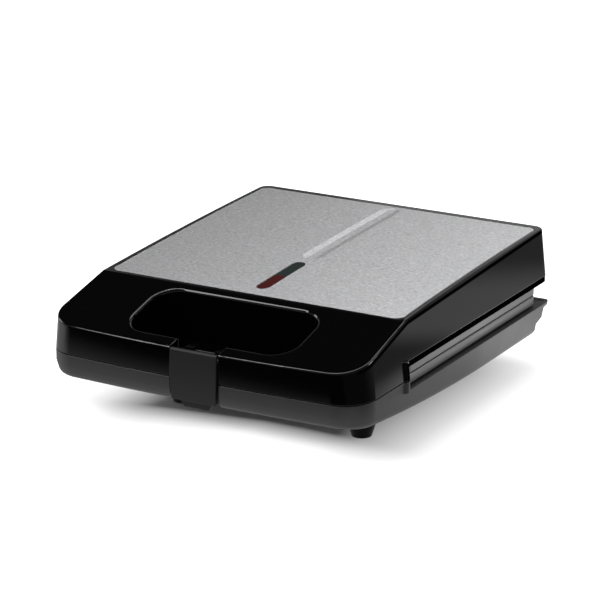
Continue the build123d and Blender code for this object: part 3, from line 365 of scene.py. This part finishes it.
def moulding_group():
    """Noise that a mould leaves: a fine grain for the normal and a broad mask for the gloss."""
    group = bpy.data.node_groups.new("moulded_skin", "ShaderNodeTree")
    group_socket(group, "Grain per metre", "INPUT", "NodeSocketFloat", 1500.0)
    group_socket(group, "Grain height", "INPUT", "NodeSocketFloat", 0.2)
    group_socket(group, "Gloss", "INPUT", "NodeSocketFloat", 0.1)
    group_socket(group, "Gloss spread", "INPUT", "NodeSocketFloat", 0.03)
    group_socket(group, "Roughness", "OUTPUT", "NodeSocketFloat")
    group_socket(group, "Normal", "OUTPUT", "NodeSocketVector")
    given = add(group, "NodeGroupInput")
    result = add(group, "NodeGroupOutput")
    grain_depth = 0.00002
    broad_per_metre = 38.0
    noise_mean = 0.5
    where = add(group, "ShaderNodeTexCoord")
    grain = add(group, "ShaderNodeTexNoise", Detail=2.0, Roughness=0.6)
    group.links.new(where.outputs["Object"], grain.inputs["Vector"])
    group.links.new(given.outputs["Grain per metre"], grain.inputs["Scale"])
    bump = add(group, "ShaderNodeBump", Distance=grain_depth)
    group.links.new(given.outputs["Grain height"], bump.inputs["Strength"])
    group.links.new(grain.outputs["Fac"], bump.inputs["Height"])
    broad = add(group, "ShaderNodeTexNoise", Scale=broad_per_metre, Detail=4.0, Roughness=0.55)
    group.links.new(where.outputs["Object"], broad.inputs["Vector"])
    centred = add(group, "ShaderNodeMath", operation="SUBTRACT")
    centred.inputs[1].default_value = noise_mean
    group.links.new(broad.outputs["Fac"], centred.inputs[0])
    spread = add(group, "ShaderNodeMath", operation="MULTIPLY_ADD")
    group.links.new(centred.outputs[0], spread.inputs[0])
    group.links.new(given.outputs["Gloss spread"], spread.inputs[1])
    group.links.new(given.outputs["Gloss"], spread.inputs[2])
    group.links.new(spread.outputs[0], result.inputs["Roughness"])
    group.links.new(bump.outputs[0], result.inputs["Normal"])
    return group


moulded_skin = moulding_group()


def plastic(name, colour, gloss, spread, grain_per_metre, grain_height, specular=0.5):
    """Moulded plastic with its own grain and gloss."""
    made, tree, output = new_material(name)
    shader = add(tree, "ShaderNodeBsdfPrincipled")
    shader.inputs["Base Color"].default_value = (*colour, 1)
    shader.inputs["Specular IOR Level"].default_value = specular
    skin = add(tree, "ShaderNodeGroup", node_tree=moulded_skin)
    skin.inputs["Grain per metre"].default_value = grain_per_metre
    skin.inputs["Grain height"].default_value = grain_height
    skin.inputs["Gloss"].default_value = gloss
    skin.inputs["Gloss spread"].default_value = spread
    tree.links.new(skin.outputs["Roughness"], shader.inputs["Roughness"])
    tree.links.new(skin.outputs["Normal"], shader.inputs["Normal"])
    tree.links.new(shader.outputs[0], output.inputs["Surface"])
    return made


# The slab's and the deck's top planes are heights over Y. Each pair below places the painted
# shade, and fades from first to last.
slab_slope = 0.25346
slab_height_at_origin = 0.11587
deck_slope = 0.03635
deck_height_at_origin = 0.1004
opening_middle = -0.1081
opening_half = 0.02645
opening_width_shaded = (0.0665, 0.0660)
opening_length_shaded = (opening_half + 0.001, opening_half + 0.0005)
opening_depth_shaded = (0.0022, 0.0032)
side_facing = (0.75, 0.85)
band_begins = (0.0009, 0.0013)
band_ends = (0.0040, 0.0034)
lip_top = 0.0700
window_front = -0.08035
lip_blend = 0.0001


def polish_and_shade_group():
    """Mask of the polished faces of the lid's moulding, with painted shade. It is 0 in the handle
    opening, under the top edge of the sides and on the lip at their foot, where the coat is taken
    off so that these places stay dark: painted shade for the shade and dark reflections there."""
    group = bpy.data.node_groups.new("polish", "ShaderNodeTree")
    group_socket(group, "Polish", "OUTPUT", "NodeSocketFloat")
    result = add(group, "NodeGroupOutput")
    where = add(group, "ShaderNodeTexCoord")
    parts = add(group, "ShaderNodeSeparateXYZ")
    group.links.new(where.outputs["Object"], parts.inputs[0])
    facing = add(group, "ShaderNodeSeparateXYZ")
    group.links.new(where.outputs["Normal"], facing.inputs[0])

    def math_node(operation, first, second=None, third=None):
        """Output of a Math node whose inputs are given as numbers or as sockets."""
        node = add(group, "ShaderNodeMath", operation=operation)
        for socket, given in zip(node.inputs, (first, second, third)):
            if isinstance(given, float):
                socket.default_value = given
            elif given is not None:
                group.links.new(given, socket)
        return node.outputs[0]

    def ramp(value, low, high):
        """0 below low and 1 above high, or the other way round."""
        node = add(group, "ShaderNodeMapRange", interpolation_type="SMOOTHSTEP")
        group.links.new(value, node.inputs["Value"])
        node.inputs["From Min"].default_value = min(low, high)
        node.inputs["From Max"].default_value = max(low, high)
        node.inputs["To Min"].default_value = 0.0 if low < high else 1.0
        node.inputs["To Max"].default_value = 1.0 if low < high else 0.0
        return node.outputs[0]

    slab = math_node("MULTIPLY_ADD", parts.outputs["Y"], slab_slope, slab_height_at_origin)
    deck = math_node("MULTIPLY_ADD", parts.outputs["Y"], deck_slope, deck_height_at_origin)
    top = math_node("MINIMUM", slab, deck)
    depth = math_node("SUBTRACT", top, parts.outputs["Z"])
    across = math_node("ABSOLUTE", parts.outputs["X"])
    from_middle = math_node("ABSOLUTE", math_node("SUBTRACT", parts.outputs["Y"], opening_middle))
    in_plan = math_node(
        "MULTIPLY", ramp(across, *opening_width_shaded), ramp(from_middle, *opening_length_shaded)
    )
    inside = math_node("MULTIPLY", in_plan, ramp(depth, *opening_depth_shaded))
    sideways = ramp(math_node("ABSOLUTE", facing.outputs["X"]), *side_facing)
    in_band = math_node("MULTIPLY", ramp(depth, *band_begins), ramp(depth, *band_ends))
    band = math_node("MULTIPLY", sideways, in_band)
    lip = math_node(
        "MULTIPLY",
        ramp(parts.outputs["Z"], lip_top + lip_blend, lip_top - lip_blend),
        ramp(parts.outputs["Y"], window_front - lip_blend, window_front + lip_blend),
    )
    # Painted shade: no coat in the opening, in the band under the top edge and on the lip.
    painted_shade = math_node("MAXIMUM", inside, math_node("MAXIMUM", band, lip))
    group.links.new(math_node("SUBTRACT", 1.0, painted_shade), result.inputs["Polish"])
    return group


polish_roughness = 0.07
polish_ior = 1.55
gloss_black = plastic(
    "gloss_black",
    (0.0010, 0.0010, 0.0011),
    gloss=0.16,
    spread=0.08,
    grain_per_metre=420.0,
    grain_height=0.05,
    specular=0.0,
)
tree = gloss_black.node_tree
shader = next(node for node in tree.nodes if node.type == "BSDF_PRINCIPLED")
shader.inputs["Coat Roughness"].default_value = polish_roughness
shader.inputs["Coat IOR"].default_value = polish_ior
polish = add(tree, "ShaderNodeGroup", node_tree=polish_and_shade_group())
tree.links.new(polish.outputs["Polish"], shader.inputs["Coat Weight"])
stand_in("upper_housing", edge_radius=0.00035, material=gloss_black)

# ---------------------------------------------------------------- lower housing
# One satin black moulding from a spark-eroded tool: handle half, ledge, belly and stepped rear.
satin_black = plastic(
    "satin_black",
    (0.014, 0.014, 0.0145),
    gloss=0.42,
    spread=0.10,
    grain_per_metre=2600.0,
    grain_height=0.35,
    specular=0.8,
)
stand_in("lower_housing", edge_radius=0.00035, material=satin_black)
for node in ("upper_handle_covers", "lower_handle_covers"):
    stand_in(node, edge_radius=0.0002, material=satin_black)


# ---------------------------------------------------------------- steel top panel
# Thin stainless sheet with a grain brushed from side to side, let into the deck. The indicator
# window is punched through it and a long shallow groove is pressed in behind the window. Its cut
# edges are smoother than its faces, and paler steel on them is a painted highlight along the rim.
def brushed(name, colour, roughness, grain, contrast, stretched=0.0, streak=0.035):
    """Brushed metal. The grain runs along X, with shades and scratches of different lengths."""
    noise_low, noise_high = 0.3, 0.7
    roughness_spread = 0.08
    scratch_depth = 0.00001
    made, tree, output = new_material(name)
    shader = add(tree, "ShaderNodeBsdfPrincipled", Metallic=1.0)
    where = add(tree, "ShaderNodeTexCoord")
    stretch = add(tree, "ShaderNodeMapping")
    stretch.inputs["Scale"].default_value = (streak, 1.0, 1.0)
    tree.links.new(where.outputs["Object"], stretch.inputs["Vector"])
    fine = add(tree, "ShaderNodeTexNoise", Scale=grain, Detail=3.0, Roughness=0.75)
    tree.links.new(stretch.outputs[0], fine.inputs["Vector"])
    tone = add(tree, "ShaderNodeMapRange")
    tone.inputs["From Min"].default_value = noise_low
    tone.inputs["From Max"].default_value = noise_high
    tone.inputs["To Min"].default_value = 1.0 - contrast
    tone.inputs["To Max"].default_value = 1.0 + contrast
    tree.links.new(fine.outputs["Fac"], tone.inputs["Value"])
    shade = add(tree, "ShaderNodeMix", data_type="RGBA", blend_type="MULTIPLY")
    shade.inputs[0].default_value = 1.0
    colours = [s for s in shade.inputs if s.type == "RGBA"]
    colours[0].default_value = (*colour, 1)
    tree.links.new(tone.outputs[0], colours[1])
    tree.links.new([s for s in shade.outputs if s.type == "RGBA"][0], shader.inputs["Base Color"])
    rough = add(tree, "ShaderNodeMapRange")
    rough.inputs["To Min"].default_value = roughness - roughness_spread
    rough.inputs["To Max"].default_value = roughness + roughness_spread
    tree.links.new(fine.outputs["Fac"], rough.inputs["Value"])
    tree.links.new(rough.outputs[0], shader.inputs["Roughness"])
    bump = add(tree, "ShaderNodeBump", Strength=0.25, Distance=scratch_depth)
    tree.links.new(fine.outputs["Fac"], bump.inputs["Height"])
    tree.links.new(bump.outputs[0], shader.inputs["Normal"])
    if stretched:
        shader.inputs["Anisotropic"].default_value = stretched
        tangent = add(tree, "ShaderNodeTangent", direction_type="UV_MAP", uv_map="grain")
        tree.links.new(tangent.outputs[0], shader.inputs["Tangent"])
    tree.links.new(shader.outputs[0], output.inputs["Surface"])
    return made


panel_steel = brushed(
    "panel_steel",
    (0.64, 0.64, 0.65),
    roughness=0.48,
    grain=1300.0,
    contrast=0.36,
    stretched=0.75,
    streak=0.3,
)
steel_panel = stand_in(
    "steel_top_panel", edge_radius=0.0006, material=panel_steel, crease_angle=4.0
)
# Paler, smoother steel for the cut edges. The smoothness is real, and the paler colour is a painted
# highlight.
panel_rim_painted_highlight = brushed(
    "panel_rim_painted_highlight",
    (0.80, 0.80, 0.81),
    roughness=0.24,
    grain=300.0,
    contrast=0.04,
)
steel_panel.data.materials.append(panel_rim_painted_highlight)
cut_edge_upright = 0.95
for face in steel_panel.data.polygons:
    face.material_index = int(face.normal.z < cut_edge_upright)
across_grain = steel_panel.data.uv_layers.new(name="grain")
for loop in steel_panel.data.loops:
    corner = steel_panel.data.vertices[loop.vertex_index].co
    across_grain.data[loop.index].uv = (corner.y, corner.x)

# ---------------------------------------------------------------- indicator lenses
# Two dark clear plastic lenses in the punched window, red at the front and green behind it.
red_lens = plastic(
    "red_lens",
    (0.042, 0.0012, 0.0012),
    gloss=0.12,
    spread=0.02,
    grain_per_metre=300.0,
    grain_height=0.02,
    specular=0.06,
)
green_lens = plastic(
    "green_lens",
    (0.006, 0.013, 0.010),
    gloss=0.12,
    spread=0.02,
    grain_per_metre=300.0,
    grain_height=0.02,
    specular=0.1,
)
stand_in("power_lens", edge_radius=0.0002, material=red_lens)
stand_in("ready_lens", edge_radius=0.0002, material=green_lens)

# ---------------------------------------------------------------- latch
# Matte black clip that turns on a steel pin at its top, with a finger tab at the bottom.
latch_black = plastic(
    "latch_black",
    (0.012, 0.012, 0.0125),
    gloss=0.48,
    spread=0.06,
    grain_per_metre=3200.0,
    grain_height=0.4,
    specular=0.4,
)
stand_in("latch", edge_radius=0.0004, material=latch_black)


# ---------------------------------------------------------------- cooking plates
# Cast aluminium with a dull grey non-stick coat. Their rims show in the window on each side.
def coated_casting(name, colour, grain_per_metre, grain_height, gloss, spread):
    """Metal casting under a dull coat."""
    made, tree, output = new_material(name)
    shader = add(tree, "ShaderNodeBsdfPrincipled", Metallic=0.75)
    shader.inputs["Base Color"].default_value = (*colour, 1)
    skin = add(tree, "ShaderNodeGroup", node_tree=moulded_skin)
    skin.inputs["Grain per metre"].default_value = grain_per_metre
    skin.inputs["Grain height"].default_value = grain_height
    skin.inputs["Gloss"].default_value = gloss
    skin.inputs["Gloss spread"].default_value = spread
    tree.links.new(skin.outputs["Roughness"], shader.inputs["Roughness"])
    tree.links.new(skin.outputs["Normal"], shader.inputs["Normal"])
    tree.links.new(shader.outputs[0], output.inputs["Surface"])
    return made


plate_coat = coated_casting(
    "plate_coat",
    (0.24, 0.24, 0.245),
    grain_per_metre=1800.0,
    grain_height=0.5,
    gloss=0.42,
    spread=0.12,
)
for node in ("upper_cooking_plate", "lower_cooking_plate"):
    stand_in(node, edge_radius=0.0003, material=plate_coat)

# ---------------------------------------------------------------- feet
# Four gloss black legs with a soft pad in the end of each.
foot_black = plastic(
    "foot_black",
    (0.002, 0.002, 0.0021),
    gloss=0.30,
    spread=0.05,
    grain_per_metre=420.0,
    grain_height=0.05,
    specular=0.08,
)
foot_rubber = plastic(
    "foot_rubber",
    (0.02, 0.02, 0.02),
    gloss=0.75,
    spread=0.1,
    grain_per_metre=1500.0,
    grain_height=0.5,
    specular=0.3,
)
for node in ("front_left_foot", "front_right_foot", "rear_left_foot", "rear_right_foot"):
    stand_in(node, edge_radius=0.0004, material=foot_black)
stand_in("foot_pads", edge_radius=0.0003, material=foot_rubber)

# ---------------------------------------------------------------- inside and fasteners
# Sheet steel, plated screws, ceramic, glass and silicone sleeves, each on its own nodes.
sheet_steel = brushed(
    "sheet_steel",
    (0.55, 0.55, 0.55),
    roughness=0.38,
    grain=500.0,
    contrast=0.06,
)
zinc = brushed(
    "zinc_plate",
    (0.60, 0.61, 0.63),
    roughness=0.30,
    grain=300.0,
    contrast=0.04,
)
heater_steel = brushed(
    "heater_steel",
    (0.16, 0.14, 0.13),
    roughness=0.45,
    grain=400.0,
    contrast=0.10,
)
brass = brushed(
    "brass",
    (0.62, 0.44, 0.17),
    roughness=0.30,
    grain=300.0,
    contrast=0.05,
)
holder_white = plastic(
    "holder_white",
    (0.62, 0.60, 0.55),
    gloss=0.45,
    spread=0.08,
    grain_per_metre=1500.0,
    grain_height=0.3,
)
ceramic = plastic(
    "ceramic_body",
    (0.62, 0.58, 0.50),
    gloss=0.55,
    spread=0.08,
    grain_per_metre=1500.0,
    grain_height=0.5,
)
sleeve = plastic(
    "lead_sleeve",
    (0.55, 0.55, 0.50),
    gloss=0.55,
    spread=0.08,
    grain_per_metre=900.0,
    grain_height=0.3,
)
gland_black = plastic(
    "gland_black",
    (0.015, 0.015, 0.015),
    gloss=0.6,
    spread=0.08,
    grain_per_metre=1500.0,
    grain_height=0.4,
    specular=0.4,
)
lamp_glass = plastic(
    "lamp_glass",
    (0.55, 0.30, 0.22),
    gloss=0.08,
    spread=0.02,
    grain_per_metre=300.0,
    grain_height=0.02,
)
inside = {
    "shield_sheet": sheet_steel,
    "clip_sheet": sheet_steel,
    "zinc_screw": zinc,
    "pin_steel": sheet_steel,
    "heater_sheath": heater_steel,
    "brass_screw": brass,
    "white_holder": holder_white,
    "switch_body": ceramic,
    "block_ceramic": ceramic,
    "lead_sleeve": sleeve,
    "gland_black": gland_black,
    "lamp_glass": lamp_glass,
}
for node, piece in nodes.items():
    if slot_of(node) in inside:
        piece.data.materials.clear()
        piece.data.materials.append(inside[slot_of(node)])
